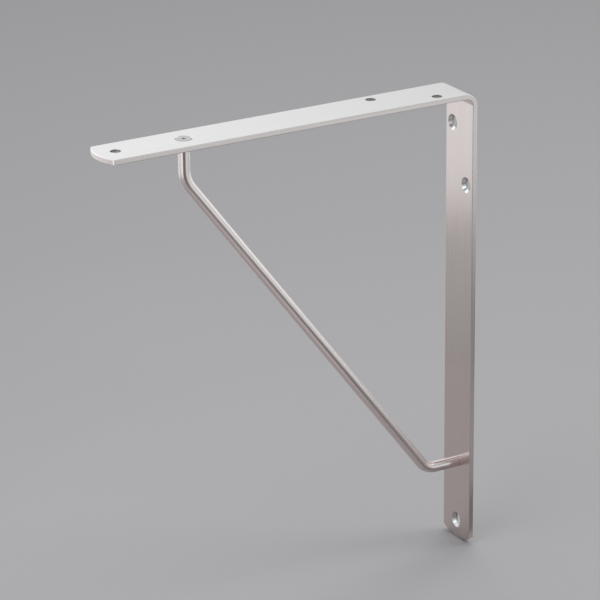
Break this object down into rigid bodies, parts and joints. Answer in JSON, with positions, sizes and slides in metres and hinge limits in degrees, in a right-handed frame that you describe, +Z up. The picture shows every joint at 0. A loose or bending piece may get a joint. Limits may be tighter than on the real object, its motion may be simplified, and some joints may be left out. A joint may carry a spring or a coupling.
{
  "type": "shelf bracket",
  "caption": "L-shaped shelf bracket folded from one satin steel flat bar, with a bent round-bar brace riveted across the corner and staggered countersunk screw holes.",
  "frame": {"origin": "on the wall plane, at the middle of the leg's width and half way between the shelf plane and the leg's tip", "axes": "+Z up, +Y into the wall, the arm runs out along -Y, X across the bar's width"},
  "size_m": [0.03, 0.25, 0.3],
  "materials": {
    "bar_steel": "satin",
    "rod_steel": "satin"
  },
  "bodies": {
    "root": {"folded_bar": "bar_steel", "brace_rod": "rod_steel"}
  },
  "joints": []
}
